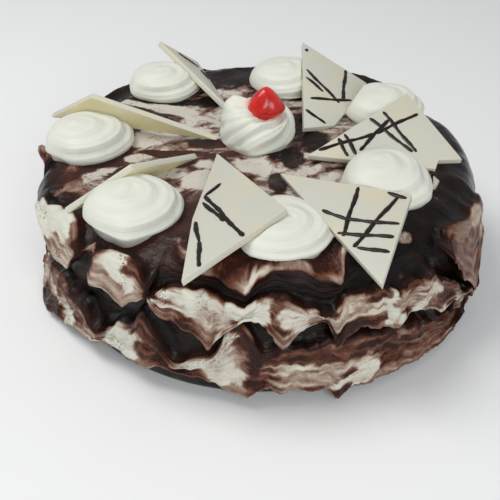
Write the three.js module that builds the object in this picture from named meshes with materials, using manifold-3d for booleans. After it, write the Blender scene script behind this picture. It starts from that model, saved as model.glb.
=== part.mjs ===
// A round chocolate gateau, uncut: a tall sponge under a marbled chocolate-and-cream coat that a
// palette knife has pulled into drooping ruffles. Seven piped cream rosettes stand in a ring on top,
// a taller one in the middle carries a glace cherry, and a drizzled white chocolate shard leans on
// each rosette of the ring.
//
// Units are millimetres and degrees. +Z is up, the origin is the middle of the base, and -Y is the
// front. Angles run anticlockwise seen from above, with 0 at +X and 270 at the front.

import * as THREE from "three";
import { mergeVertices } from "three/addons/utils/BufferGeometryUtils.js";
import Module from "manifold-3d";

const wasm = await Module();
wasm.setup();

// ---------- Driving dimensions ----------

const CAKE_HEIGHT = 66.6;
const TOP_FLAT_RADIUS = 92;
const SHOULDER_RADIUS = 16;
const FOOT_RADIUS = 105;
const COAT_SEGMENTS = 132;
const GAP = 0.3;

// A depth along the coat is measured down the outside of the cake from where the flat top ends:
// 0 at the top's edge, 25 below the rounded shoulder, 75.7 at the base, and less than 0 on the top.
// A knot is [angle, depth], with a third entry where the outline comes to a point.
const TIP = true;

// The crest is where the knife set in, and the hem is the drooping lip that it left. The hollow is how
// far the bare coat beside a flap lies over the shoulder, or under it when less than 0.
const TOP_FLAPS = {
  crest: [
    [28, 14], [60, 13], [100, 11], [150, 13], [172, 13], [180.5, 8.5], [186, 13], [196, 19], [202.5, 17],
    [209, 12.2], [213.5, 9.3], [217, 9.8], [219.8, 12], [222, 16.5], [223.8, 19.5], [228.4, 20.5],
    [229.9, 13.5], [233, 11.4], [237.5, 10.4], [241, 13], [243.8, 18], [246, 22], [316, 18],
    [318, 18], [320.5, 12.2], [324, 13.2], [328.5, 17], [332, 18.5], [336, 17.5], [341, 19],
    [350, 24],
  ],
  hem: [
    [28, 26], [40, 24], [72, 32, TIP], [100, 24], [128, 33, TIP], [156, 24], [176, 22],
    [181.5, 13.5, TIP], [187, 17], [197, 21], [203, 21], [208.5, 22.5], [212, 27], [216, 29.5],
    [219.5, 28.8], [222.4, 27, TIP], [224, 21.5], [228.6, 22.5], [230.3, 28, TIP], [233.5, 27.2],
    [239.8, 29.4, TIP], [242.2, 26], [244, 23.5], [246, 23], [316, 20], [318, 21.5], [320, 26.5],
    [322.2, 33], [325.8, 44], [330.5, 56, TIP], [338, 40], [346, 32], [352, 30],
  ],
  reach: [
    [28, 0], [40, 3], [56, 5], [100, 1], [128, 6], [156, 1], [175, 0], [178.5, 2],
    [181.5, 7], [184.5, 2], [187, 0], [198, 0], [202, 6.5], [214, 7], [220.5, 6.5], [223.2, 5.5], [224.3, 0],
    [228.6, 0], [229.6, 4.5], [232, 5.5], [242, 5.5], [244, 4.5], [245, 0], [317, 0], [319, 6.2],
    [331, 9.5], [340, 8], [346, 0],
  ],
  hollow: [
    [28, -3.8], [168, -3.8], [180, -1], [187, 0], [193, 2.6], [200, 3.6], [207, -3.8], [318, -3.8],
    [336, -2], [347, 0.5], [372, 0.5],
  ],
};

const MIDDLE_WAVE = {
  crest: [
    [12, 48], [40, 36], [66, 44], [90, 34], [118, 44], [142, 37], [170, 46], [200, 44], [238, 42],
    [245, 22], [250, 17], [256, 14], [262, 18], [266, 22], [273, 15], [280, 23], [285, 27],
    [290, 20], [296, 21], [303, 27, TIP], [306, 24], [309.5, 26.5], [312.6, 22.5, TIP],
    [316.5, 34], [324, 44], [332, 56], [350, 58],
  ],
  hem: [
    [12, 58, TIP], [40, 44], [66, 57, TIP], [90, 44], [118, 57, TIP], [142, 46], [170, 56],
    [200, 47], [238, 44], [244, 24], [250, 31], [254, 35], [259, 43, TIP], [267, 25],
    [274.5, 39, TIP], [282, 27], [286, 42, TIP], [291, 36], [301, 41, TIP], [306, 38],
    [317, 49], [334, 58, TIP], [350, 61],
  ],
  reach: [
    [12, 6], [40, 4], [66, 7], [90, 4], [118, 7], [142, 4], [170, 2], [190, 0], [242, 0],
    [247, 5], [266, 5.5], [286, 6], [310, 7], [334, 9.5], [345, 5],
  ],
};

const BOTTOM_WAVE = {
  crest: [
    [10, 63], [34, 52], [54, 63], [78, 51], [104, 63], [126, 52], [150, 63], [174, 54], [190, 60],
    [203, 52], [214, 48], [221, 42], [227, 61], [241, 34], [251, 57], [258, 50], [265, 29],
    [271, 46], [275, 43], [299, 44], [310, 52], [322, 63], [340, 66],
  ],
  hem: [
    [10, 72, TIP], [34, 67], [54, 72, TIP], [78, 67], [104, 73, TIP], [126, 67], [150, 72, TIP],
    [174, 68], [205, 73, TIP], [222, 68], [232, 63], [243, 65.5, TIP], [247.5, 61], [256, 64],
    [267, 70, TIP], [272, 66.5], [284, 69], [287, 73.5, TIP], [291, 71], [312, 70], [340, 71],
  ],
  reach: [
    [10, 7], [54, 5], [104, 7], [150, 5], [190, 7], [208, 9], [226, 6], [236, 4], [270, 4.5],
    [290, 6.5], [318, 9], [340, 8],
  ],
};

// The smeared coat of the top ends in an irregular edge, with tongues that hang over the shoulder.
const TOP_EDGE = [
  [10, -3], [50, -6], [95, -2], [140, -4], [170, -5], [188, 1], [198, 5, TIP], [203, 6.5], [208, 1],
  [214, -6], [245, -5], [250, 3], [254.5, 9], [259, 9.2], [263.5, 14], [266.7, 16.5, TIP],
  [270, 8.2], [273, 5], [279, 5.6], [284.5, 12], [288.4, 16, TIP], [293, 0], [310, -5],
];

const CREST_RISE = 1.8;
const HEM_THICKNESS = 1.5;
const LEAST_BAND = 1.8;
const LEAST_TROUGH = 2.4;
const TROUGH_HOLLOW = 3.8;
const PLEAT = 2.2;
const TOP_COAT_THICKNESS = 1.3;

// Each rosette: middle [x, y], radius, height above the top, the start of its swirl, how far its nub
// lies off the middle, and the corners where the cream was drawn out, as [angle, distance, share of
// the climb].
const ROSETTE_RING = [
  {
    at: [-52.5, 62.7], radius: 19.7, height: 12.2,
    start: 40, nub: [-2, -3], corners: [[215, 1.6, 0], [300, 1, 0]],
  },
  {
    at: [-83.5, -0.2], radius: 20.3, height: 13.8,
    start: 320, nub: [-6, -3], corners: [[203, 2.4, 0], [256, 1.4, 0], [350, 1, 0]],
  },
  {
    at: [-54.9, -58.5], radius: 20.8, height: 12.6,
    start: 250, nub: [-4, 2], corners: [[192, 1.4, 0], [266, 2.4, 0]],
  },
  {
    at: [9.4, -72.7], radius: 21.2, height: 8.8,
    start: 300, nub: [0, 0], corners: [[230, 1.6, 0], [310, 1, 0]],
  },
  {
    at: [57.5, -40.2], radius: 20.2, height: 14.8,
    start: 20, nub: [-4, 3], corners: [[328, 1.4, 0], [30, 1, 0]],
  },
  {
    at: [66.6, 31.9], radius: 20.5, height: 13,
    start: 90, nub: [0, 2], corners: [[150, 1.4, 0], [60, 1.2, 0]],
  },
  {
    at: [15.9, 67.5], radius: 20.5, height: 12.6,
    start: 130, nub: [0, -2], corners: [[120, 1.4, 0], [20, 1, 0]],
  },
];
const CENTRE_ROSETTE = {
  at: [-0.5, 5.9], radius: 18, height: 18.6,
  start: 200, nub: [1, 0], corners: [[160, 4, 0.7], [205, 1.6, 0], [262, 1.4, 0]],
};
const ROSETTE_SEGMENTS = 24;
const ROSETTE_SKIRT = 7;

// How each kind is piped. The side stands steeper where the fullness is lower.
const RING_PIPING = {
  levels: 8, turns: 2.7, swell: 0.1, lift: 1.5, lobes: 9, lobeDepth: 0.01, fullness: [0.8, 0.74],
};
const CENTRE_PIPING = {
  levels: 11, turns: 2.3, swell: 0.12, lift: 1.7, lobes: 7, lobeDepth: 0.05, fullness: [0.6, 0.3],
};

const CHERRY = { at: [3, 5, 86.4], radius: 9.8, halfHeight: 8.2, taper: 0.28 };

// Each shard: its inner and outer corners low on the cake and its peak over the rosette, as
// [x, y, height of the upper face above the cake's top]. Extra corners and the drizzle are in the
// shard's own plane, [along the low side, up towards the peak] from the inner corner.
const SHARD_THICKNESS = 3;
const SHARD_PATTERN = [
  [14, 2, 22, 10], [20, 1, 34, 15], [30, 1, 50, 19], [44, 2, 40, 17], [52, 2, 46, 17],
];
const SHARDS = [
  {
    inner: [-15.8, 34.5, 1.5],
    peak: [-56.1, 84.1, 18],
    outer: [-35.5, 92.3, 1.5],
    drizzle: [[36, 1.2, 46, 3], [50, 3, 56, 16]],
  },
  { inner: [-20.6, 3.9, 2], peak: [-82.1, 11.1, 22], outer: [-107.4, 24.2, 4] },
  { inner: [-31.4, -11.8, 1.5], peak: [-57.1, -46.9, 17], outer: [-86.4, -57.6, 1] },
  {
    inner: [-20.5, -15.3, 3.6],
    peak: [10.7, -73.9, 12],
    outer: [-31.1, -109.4, 3.2],
    low: [[53, -3]],
    drizzle: [
      [28, 6, 37, 0], [37, 0, 72, 23], [42, 0, 58, 12], [56, -1, 70, 3], [70, 3, 87, 6],
    ],
  },
  {
    inner: [9.2, -34.6, 4.5],
    peak: [64.3, -62.9, 12],
    outer: [46, -110.9, 2.5],
    drizzle: [
      [30, 24, 53, 2], [47, 33, 61, 2], [42, 31, 50, 35], [34, 3, 45, 8], [45, 8, 61, 24],
      [50, 1, 66, 18], [62, 3, 72, 12],
    ],
  },
  {
    inner: [23.2, -17.2, 3.6],
    peak: [76.3, 26.1, 14.5],
    outer: [96.4, -20.5, 3.4],
    low: [[60, -7], [62, -1]],
    drizzle: [
      [31, 27, 50, 4], [38, 32, 52, 4], [55, 31, 33, 16], [33, 16, 4, 3], [40, 26, 25, 4],
      [15, 12, 19, 0], [18, 15, 23, 1],
    ],
  },
  {
    inner: [22.8, 9.4, 3.4],
    peak: [25.7, 83.9, 17.5],
    outer: [60.9, 60.4, 3.4],
    low: [[16, -9], [34, -6]],
    drizzle: [
      [42, 28, 34, 0], [36, 24, 34, 11], [62, 14, 38, 0], [23, 12, 42, -3], [13, 8, 13, -5],
      [56, 38, 58, 39],
    ],
  },
];
const DRIZZLE_WIDTH = 2;
const DRIZZLE_HEIGHT = 0.7;
const DRIZZLE_MARGIN = 0.9;

// ---------- Outlines ----------

const degrees = THREE.MathUtils.degToRad;
const mix = THREE.MathUtils.lerp;

// The value at an angle on a closed outline of knots. It is level at a round knot and meets a
// pointed one at a slope.
function outlineAt(knots, angle) {
  const first = knots[0][0];
  const turned = first + THREE.MathUtils.euclideanModulo(angle - first, 360);
  const count = knots.length;
  let index = count - 1;
  while (knots[index][0] > turned) index -= 1;
  const [angleA, valueA, pointedA] = knots[index];
  const [nextAngle, valueB, pointedB] = knots[(index + 1) % count];
  const angleB = index === count - 1 ? nextAngle + 360 : nextAngle;
  const t = (turned - angleA) / (angleB - angleA);
  let eased = (1 - Math.cos(Math.PI * t)) / 2;
  if (pointedA && pointedB) eased = t;
  else if (pointedA) eased = Math.sin((Math.PI * t) / 2);
  else if (pointedB) eased = 1 - Math.cos((Math.PI * t) / 2);
  return mix(valueA, valueB, eased);
}

// 1 at a pointed knot of an outline, 0 at a round one.
function tipAt(knots, angle) {
  return outlineAt(knots.map(([at, , pointed]) => [at, pointed ? 1 : 0, pointed]), angle);
}

// The point [radius, height] at a depth along the coat, lifted off it along its normal.
function coatPoint(depth, lift) {
  const arc = (Math.PI / 2) * SHOULDER_RADIUS;
  if (depth <= 0) return [TOP_FLAT_RADIUS + depth, CAKE_HEIGHT + lift];
  if (depth >= arc) {
    return [
      TOP_FLAT_RADIUS + SHOULDER_RADIUS + lift,
      CAKE_HEIGHT - SHOULDER_RADIUS - (depth - arc),
    ];
  }
  const turn = depth / SHOULDER_RADIUS;
  const radius = SHOULDER_RADIUS + lift;
  return [
    TOP_FLAT_RADIUS + radius * Math.sin(turn),
    CAKE_HEIGHT - SHOULDER_RADIUS + radius * Math.cos(turn),
  ];
}

// One ruffle in section, from under its hem up to its crest. Its lip stands out most at the tips.
function ruffleSection({ crest, hem, reach, pleat, hollow }) {
  const stands = Math.min(1, reach / 3);
  const rise = mix(hollow, CREST_RISE + 0.25 * reach, stands);
  const lip = mix(hollow, reach + PLEAT * (pleat - 0.35), stands);
  return [
    coatPoint(hem + 0.9 - 1.9 * stands, mix(hollow, 0.4 * lip, stands)),
    coatPoint(hem + 0.3 + 0.4 * stands, lip - 0.8 * stands),
    coatPoint(hem - HEM_THICKNESS * 0.5, lip),
    coatPoint(mix(crest, hem, 0.5), mix(rise, lip, 0.45)),
    coatPoint(crest, rise),
  ];
}

// A ruffle at an angle, held below the one above it.
function ruffleAt(wave, angle, above) {
  const crest = Math.max(outlineAt(wave.crest, angle), above + LEAST_TROUGH);
  return {
    crest,
    hem: Math.max(outlineAt(wave.hem, angle), crest + LEAST_BAND),
    reach: outlineAt(wave.reach, angle),
    pleat: tipAt(wave.hem, angle),
    hollow: -TROUGH_HOLLOW,
  };
}

// Where no flap stands, its section shrinks to a strip halfway down to the wave below.
function flapAt(angle, edge) {
  const reach = outlineAt(TOP_FLAPS.reach, angle);
  const stands = Math.min(1, reach / 3);
  const rest = (edge + outlineAt(MIDDLE_WAVE.crest, angle)) / 2 - 1;
  const drawn = mix(rest, outlineAt(TOP_FLAPS.crest, angle), stands);
  const crest = Math.max(drawn, edge + LEAST_TROUGH);
  const hem = mix(rest, outlineAt(TOP_FLAPS.hem, angle), stands);
  return {
    crest,
    hem: Math.max(hem, crest + LEAST_BAND),
    reach,
    pleat: tipAt(TOP_FLAPS.hem, angle),
    hollow: outlineAt(TOP_FLAPS.hollow, angle),
  };
}

// The coat in section at one angle, from the base up to the top's edge, as [radius, height].
function coatSection(angle) {
  const edge = outlineAt(TOP_EDGE, angle);
  const flap = flapAt(angle, edge);
  const middle = ruffleAt(MIDDLE_WAVE, angle, flap.hem);
  const bottom = ruffleAt(BOTTOM_WAVE, angle, middle.hem);
  const innermost = Math.min(edge - 3, -7);
  return [
    [FOOT_RADIUS - 1, 0],
    [FOOT_RADIUS, 1.2],
    ...ruffleSection(bottom),
    coatPoint((middle.hem + bottom.crest) / 2, -TROUGH_HOLLOW),
    ...ruffleSection(middle),
    coatPoint((flap.hem + middle.crest) / 2, (flap.hollow - TROUGH_HOLLOW) / 2),
    ...ruffleSection(flap),
    coatPoint(mix(edge, flap.crest, 0.5), 0.8 * flap.hollow),
    coatPoint(edge + 0.6, -TOP_COAT_THICKNESS),
    coatPoint(edge, 0),
    coatPoint(innermost, 0),
    [TOP_FLAT_RADIUS * 0.55, CAKE_HEIGHT],
  ];
}

// ---------- Closed meshes ----------

// A closed mesh from rings of equal length that run upwards, with a pole below and one above.
function meshFromRings(rings, bottom, top) {
  const count = rings[0].length;
  const points = [bottom, ...rings.flat(), top];
  const last = points.length - 1;
  const faces = [];
  const at = (ring, step) => 1 + ring * count + (step % count);
  for (let step = 0; step < count; step += 1) {
    faces.push(0, at(0, step + 1), at(0, step));
    faces.push(last, at(rings.length - 1, step), at(rings.length - 1, step + 1));
    for (let ring = 0; ring + 1 < rings.length; ring += 1) {
      const a = at(ring, step);
      const b = at(ring, step + 1);
      const c = at(ring + 1, step + 1);
      const d = at(ring + 1, step);
      faces.push(a, b, c, a, c, d);
    }
  }
  const geometry = new THREE.BufferGeometry();
  geometry.setAttribute("position", new THREE.Float32BufferAttribute(points.flat(), 3));
  geometry.setIndex(faces);
  return geometry;
}

function solidFrom(geometry) {
  const bare = geometry.clone();
  bare.deleteAttribute("normal");
  bare.deleteAttribute("uv");
  const merged = mergeVertices(bare, 1e-4);
  return new wasm.Manifold(
    new wasm.Mesh({
      numProp: 3,
      vertProperties: new Float32Array(merged.attributes.position.array),
      triVerts: new Uint32Array(merged.index.array),
    }),
  );
}

function geometryFrom(solid) {
  const mesh = solid.getMesh();
  const geometry = new THREE.BufferGeometry();
  geometry.setAttribute("position", new THREE.Float32BufferAttribute(mesh.vertProperties, 3));
  geometry.setIndex(new THREE.Uint32BufferAttribute(mesh.triVerts, 1));
  geometry.computeVertexNormals();
  return geometry;
}

// The largest body of a solid, so that a crumb cut loose is dropped.
function largestBody(solid) {
  const bodies = solid.decompose();
  return bodies.reduce((best, body) => (body.volume() > best.volume() ? body : best));
}

// ---------- Sponge and coat ----------

function cakeBodySolid() {
  const sections = [];
  for (let step = 0; step < COAT_SEGMENTS; step += 1) {
    const angle = (360 * step) / COAT_SEGMENTS;
    const along = degrees(angle);
    sections.push(
      coatSection(angle).map(([radius, height]) => [
        radius * Math.cos(along),
        radius * Math.sin(along),
        height,
      ]),
    );
  }
  const rings = sections[0].map((_, level) => sections.map((section) => section[level]));
  return solidFrom(meshFromRings(rings, [0, 0, 0], [0, 0, CAKE_HEIGHT]));
}

// ---------- Piped cream ----------

// A swirl of piped cream. Its coil winds inwards and upwards, and lobes give it the star nozzle's
// fluted side. A skirt below it reaches down where the cake's shoulder falls away.
function rosetteSolid({ at, radius, height, start, nub, corners }, piping) {
  const ringAt = (grow, tilt, lift, climb) => {
    const lean = climb ** 1.6;
    const ring = [];
    for (let step = 0; step < ROSETTE_SEGMENTS; step += 1) {
      const turn = step / ROSETTE_SEGMENTS;
      const around = turn * Math.PI * 2;
      const leftward = THREE.MathUtils.smoothstep(-Math.cos(around), -0.1, 0.9);
      const round = Math.cos(tilt) ** mix(...piping.fullness, leftward);
      const coil = Math.abs(Math.sin(Math.PI * (turn + climb * piping.turns + start / 360)));
      const flute = piping.lobeDepth * Math.cos(piping.lobes * (around + 1.6 * climb));
      const swell = climb > 0 ? 1 + piping.swell * (coil - 0.6) : 1;
      const drawn = corners.reduce((sum, [corner, distance, level]) => {
        const off = Math.sin((around - degrees(corner)) / 2) / 0.15;
        return sum + distance * Math.exp(-(off ** 2) - ((climb - level) / 0.4) ** 2);
      }, 0);
      const out = radius * grow * round * swell * (1 + flute * (1 - 0.6 * climb)) + drawn;
      ring.push([
        at[0] + out * Math.cos(around) + nub[0] * lean,
        at[1] + out * Math.sin(around) + nub[1] * lean,
        CAKE_HEIGHT + lift + (climb > 0.12 ? piping.lift * (coil - 0.6) : 0),
      ]);
    }
    return ring;
  };
  const rings = [ringAt(0.88, 0, -ROSETTE_SKIRT, 0), ringAt(0.93, 0, 0.1, 0)];
  for (let level = 0; level < piping.levels; level += 1) {
    const climb = level / piping.levels;
    const tilt = mix(0.14, 0.5 * Math.PI, climb);
    rings.push(ringAt(1, tilt, height * Math.sin(tilt) ** 0.9, climb + 0.001));
  }
  const base = [at[0], at[1], CAKE_HEIGHT - ROSETTE_SKIRT];
  const apex = [at[0] + nub[0], at[1] + nub[1], CAKE_HEIGHT + height];
  return solidFrom(meshFromRings(rings, base, apex));
}

// ---------- Cherry ----------

// The candied fruit has sunk to a blunt cone that narrows towards its low point on top.
function cherrySolid(grow) {
  const geometry = new THREE.SphereGeometry(1, 18, 10);
  geometry.rotateX(Math.PI / 2);
  const skin = geometry.attributes.position;
  for (let index = 0; index < skin.count; index += 1) {
    const narrowed = 1 - CHERRY.taper * (skin.getZ(index) + 0.11);
    skin.setXY(index, skin.getX(index) * narrowed, skin.getY(index) * narrowed);
  }
  const wide = CHERRY.radius + grow;
  geometry.scale(wide, wide, CHERRY.halfHeight + grow);
  geometry.translate(...CHERRY.at);
  return solidFrom(geometry);
}

// ---------- White chocolate shards ----------

// The frame of a shard's upper face: x along its low side, y towards the peak, z out of the face.
function shardFrame({ inner, peak, outer }) {
  const corner = ([x, y, lift]) => new THREE.Vector3(x, y, CAKE_HEIGHT + lift);
  const origin = corner(inner);
  const along = corner(outer).sub(origin);
  const length = along.length();
  along.normalize();
  const towards = corner(peak).sub(origin);
  const normal = new THREE.Vector3().crossVectors(along, towards).normalize();
  const up = new THREE.Vector3().crossVectors(normal, along);
  const peakInPlane = [towards.dot(along), towards.dot(up)];
  const matrix = new THREE.Matrix4().makeBasis(along, up, normal).setPosition(origin);
  return { matrix, length, peakInPlane };
}

function shardCorners(shard) {
  const { length, peakInPlane } = shardFrame(shard);
  return [[0, 0], ...(shard.low ?? []), [length, 0], peakInPlane];
}

// A plate between two levels of the shard's frame, with its outline grown all round.
function plateSolid(shard, from, to, grow) {
  const { matrix } = shardFrame(shard);
  const corners = shardCorners(shard);
  const middle = corners
    .reduce(([x, y], [u, v]) => [x + u, y + v], [0, 0])
    .map((sum) => sum / corners.length);
  const outline = new THREE.Shape(
    corners.map(([u, v]) => {
      const out = new THREE.Vector2(u - middle[0], v - middle[1]);
      out.setLength(out.length() + grow);
      return out.add(new THREE.Vector2(...middle));
    }),
  );
  const geometry = new THREE.ExtrudeGeometry(outline, { depth: to - from, bevelEnabled: false });
  geometry.translate(0, 0, from);
  geometry.applyMatrix4(matrix);
  return solidFrom(geometry);
}

// A line of drizzle cut to where it keeps its margin inside the shard's outline.
function keptOnPlate([fromU, fromV, toU, toV], corners) {
  const inside = ([u, v]) =>
    corners.every(([cornerU, cornerV], index) => {
      const [nextU, nextV] = corners[(index + 1) % corners.length];
      const across = (nextU - cornerU) * (v - cornerV) - (nextV - cornerV) * (u - cornerU);
      return across > DRIZZLE_MARGIN * Math.hypot(nextU - cornerU, nextV - cornerV);
    });
  const steps = Array.from({ length: 101 }, (_, step) => step / 100);
  const kept = steps.map((t) => [mix(fromU, toU, t), mix(fromV, toV, t)]).filter(inside);
  return [...kept[0], ...kept[kept.length - 1]];
}

// One line of drizzle: a low rib with sloping sides that runs over the plate's upper face.
function drizzleSolid(shard, [fromU, fromV, toU, toV]) {
  const { matrix } = shardFrame(shard);
  const run = Math.hypot(toU - fromU, toV - fromV);
  const half = DRIZZLE_WIDTH / 2;
  const rib = new THREE.Shape([
    new THREE.Vector2(-half, -0.4),
    new THREE.Vector2(half, -0.4),
    new THREE.Vector2(half * 0.5, DRIZZLE_HEIGHT),
    new THREE.Vector2(-half * 0.5, DRIZZLE_HEIGHT),
  ]);
  const geometry = new THREE.ExtrudeGeometry(rib, { depth: run, bevelEnabled: false });
  const ahead = new THREE.Vector3((toU - fromU) / run, (toV - fromV) / run, 0);
  const up = new THREE.Vector3(0, 0, 1);
  const side = new THREE.Vector3().crossVectors(up, ahead);
  const lay = new THREE.Matrix4().makeBasis(side, up, ahead).setPosition(fromU, fromV, 0);
  geometry.applyMatrix4(lay);
  geometry.applyMatrix4(matrix);
  return solidFrom(geometry);
}

function shardSolid(shard, patternScale) {
  const plate = plateSolid(shard, -SHARD_THICKNESS, 0, 0);
  const corners = shardCorners(shard);
  const pattern = shard.drizzle ?? SHARD_PATTERN.map((line) => line.map((v) => v * patternScale));
  return pattern.reduce((joined, line) => {
    return joined.add(drizzleSolid(shard, keptOnPlate(line, corners)));
  }, plate);
}

// The room that a shard takes out of what it is pressed into, open above its upper face.
function shardRoom(shard) {
  return plateSolid(shard, -SHARD_THICKNESS - GAP, 16, GAP * 2);
}

// ---------- Assembly ----------

const group = new THREE.Group();

function addMesh(name, solid, color, roughness) {
  const material = new THREE.MeshStandardMaterial({ color, roughness, metalness: 0 });
  const mesh = new THREE.Mesh(geometryFrom(solid), material);
  mesh.name = name;
  group.add(mesh);
}

const COAT_COLOUR = 0x4a342b;
const CREAM_COLOUR = 0xe4e5da;
const CHERRY_COLOUR = 0xcd1e19;
const SHARD_COLOUR = 0xd8d6c5;

const body = cakeBodySolid();
const raisedBody = body.translate([0, 0, GAP]);
const rooms = SHARDS.map(shardRoom);

const piped = ROSETTE_RING.map((rosette) => rosetteSolid(rosette, RING_PIPING));
const centre = rosetteSolid(CENTRE_ROSETTE, CENTRE_PIPING);

addMesh("cake_body", body, COAT_COLOUR, 0.35);

piped.forEach((swirl, index) => {
  const cut = rooms.reduce((left, room) => left.subtract(room), swirl.subtract(raisedBody));
  addMesh(`rosette_${index + 1}`, largestBody(cut), CREAM_COLOUR, 0.6);
});

const cup = centre.subtract(raisedBody).subtract(cherrySolid(GAP));
const seated = rooms.reduce((left, room) => left.subtract(room), cup);
addMesh("rosette_centre", largestBody(seated), CREAM_COLOUR, 0.6);
addMesh("cherry", cherrySolid(0), CHERRY_COLOUR, 0.12);

SHARDS.forEach((shard, index) => {
  const patternScale = shardFrame(shard).length / 75;
  const whole = shardSolid(shard, patternScale).subtract(raisedBody);
  addMesh(`shard_${index + 1}`, largestBody(whole), SHARD_COLOUR, 0.4);
});

export default group;
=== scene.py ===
# A round chocolate gateau, uncut, on a plain pale floor: a ruffled chocolate-and-cream coat, seven
# piped cream rosettes with one more in the middle, a glace cherry and seven drizzled shards of white
# chocolate. Sizes are in millimetres and turned to metres where a mesh is written.

import math

import bpy
import numpy as np
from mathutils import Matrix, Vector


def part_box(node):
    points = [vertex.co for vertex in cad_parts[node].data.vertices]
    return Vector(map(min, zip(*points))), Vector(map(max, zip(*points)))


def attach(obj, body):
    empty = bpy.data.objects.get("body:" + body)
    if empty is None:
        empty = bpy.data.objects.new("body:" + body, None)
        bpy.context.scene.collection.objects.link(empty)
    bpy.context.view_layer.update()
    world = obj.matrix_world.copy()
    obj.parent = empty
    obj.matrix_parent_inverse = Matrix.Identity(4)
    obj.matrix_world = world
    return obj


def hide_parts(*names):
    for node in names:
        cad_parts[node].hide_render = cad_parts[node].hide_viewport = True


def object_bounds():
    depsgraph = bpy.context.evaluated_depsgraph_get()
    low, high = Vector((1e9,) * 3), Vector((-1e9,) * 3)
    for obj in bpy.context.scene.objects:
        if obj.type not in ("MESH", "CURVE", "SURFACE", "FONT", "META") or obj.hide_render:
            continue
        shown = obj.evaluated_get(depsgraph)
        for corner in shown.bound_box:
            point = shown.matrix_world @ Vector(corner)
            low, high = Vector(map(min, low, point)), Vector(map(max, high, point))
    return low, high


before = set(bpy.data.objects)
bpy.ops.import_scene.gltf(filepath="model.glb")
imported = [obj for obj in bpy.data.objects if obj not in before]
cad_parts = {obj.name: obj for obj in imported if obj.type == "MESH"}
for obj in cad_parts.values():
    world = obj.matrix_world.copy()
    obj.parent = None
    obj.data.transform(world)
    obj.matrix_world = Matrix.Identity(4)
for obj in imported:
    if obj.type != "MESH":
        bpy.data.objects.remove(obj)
cad_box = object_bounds()

# ---------- Camera ----------
# The viewer stands in front and above, about 40 cm from the cake.

bpy.ops.object.camera_add(location=(-0.0046, -0.331, 0.260), rotation=(math.radians(51.7), 0, 0))
viewer = bpy.context.object
viewer.name = "viewer"
viewer.data.sensor_width = 36
viewer.data.lens = 54.65
viewer.data.clip_start = 0.01
bpy.context.scene.camera = viewer

# ---------- Sponge and coat ----------
# One body: the uncut sponge under a coat of dark ganache and whipped cream. A palette knife pulled
# the coat sideways while it was soft, so it stands off the side in drooping ruffles with thin lips,
# and cream and chocolate lie in it as marbled streaks that follow the knife.

CAKE_HEIGHT = 66.6
TOP_FLAT_RADIUS = 92
SHOULDER_RADIUS = 16
FOOT_RADIUS = 105
TROUGH_HOLLOW = 3.8
CREST_RISE = 1.8
LIP_THICKNESS = 1.5
LEAST_BAND = 1.8
LEAST_TROUGH = 2.4
PLEAT = 2.2
TOP_COAT_THICKNESS = 1.3
LOWEST_HEM = 73.4
POLE_RADIUS = 0.02
BOX_MARGIN = 0.02
ROUND_STEPS = 500

# A knot is [angle, depth down the coat from the top's edge], with TIP where the outline is pointed.
TIP = True
TOP_FLAPS = {
    "crest": [
        [28, 14], [60, 13], [100, 11], [150, 13], [172, 13], [180.5, 8.5], [186, 13], [196, 19], [202.5, 17],
        [209, 12.2], [213.5, 9.3], [217, 9.8], [219.8, 12], [222, 16.5], [223.8, 19.5], [228.4, 20.5],
        [229.9, 13.5], [233, 11.4], [237.5, 10.4], [241, 13], [243.8, 18], [246, 22], [316, 18], [318, 18],
        [320.5, 12.2], [324, 13.2], [328.5, 17], [332, 18.5], [336, 17.5], [341, 19], [350, 24],
    ],
    "hem": [
        [28, 26], [40, 24], [72, 32, TIP], [100, 24], [128, 33, TIP], [156, 24], [176, 22],
        [181.5, 13.5, TIP], [187, 17], [197, 21], [203, 21], [208.5, 22.5], [212, 27], [216, 29.5],
        [219.5, 28.8], [222.4, 27, TIP], [224, 21.5], [228.6, 22.5], [230.3, 28, TIP], [233.5, 27.2],
        [239.8, 29.4, TIP], [242.2, 26], [244, 23.5], [246, 23], [316, 20], [318, 21.5], [320, 26.5],
        [322.2, 33], [325.8, 44], [330.5, 56, TIP], [338, 40], [346, 32], [352, 30],
    ],
    "reach": [
        [28, 0], [40, 3], [56, 5], [100, 1], [128, 6], [156, 1], [175, 0], [178.5, 2], [181.5, 7],
        [184.5, 2], [187, 0], [198, 0], [202, 6.5], [214, 7], [220.5, 6.5], [223.2, 5.5], [224.3, 0],
        [228.6, 0], [229.6, 4.5], [232, 5.5], [242, 5.5], [244, 4.5], [245, 0], [318.3, 0], [318.9, 6.2],
        [331, 9.5], [340, 8], [346, 0],
    ],
    # How far the bare coat round the flaps lies under or over the shoulder.
    "hollow": [
        [28, -3.8], [168, -3.8], [180, -1], [187, 0], [193, 2.6], [200, 3.6], [207, -3.8], [318, -3.8],
        [336, -2], [347, 0.5], [372, 0.5],
    ],
}
MIDDLE_WAVE = {
    "crest": [
        [12, 48], [40, 36], [66, 44], [90, 34], [118, 44], [142, 37], [170, 46], [200, 44], [238, 42],
        [245, 22], [250, 17], [256, 14], [262, 18], [266, 22], [273, 15], [280, 23], [285, 27],
        [290, 20], [296, 21], [303, 27, TIP], [306, 24], [309.5, 26.5], [312.6, 22.5, TIP], [316.5, 34],
        [324, 44], [332, 56], [350, 58],
    ],
    "hem": [
        [12, 58, TIP], [40, 44], [66, 57, TIP], [90, 44], [118, 57, TIP], [142, 46], [170, 56],
        [200, 47], [238, 44], [244, 24], [250, 31], [254, 35], [259, 43, TIP], [267, 25],
        [274.5, 39, TIP], [282, 27], [286, 42, TIP], [291, 36], [301, 41, TIP], [306, 38],
        [317, 49], [334, 58, TIP], [350, 61],
    ],
    "reach": [
        [12, 6], [40, 4], [66, 7], [90, 4], [118, 7], [142, 4], [170, 2], [190, 0], [242, 0],
        [247, 5], [266, 5.5], [286, 6], [310, 7], [334, 9.5], [345, 5],
    ],
}
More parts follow.
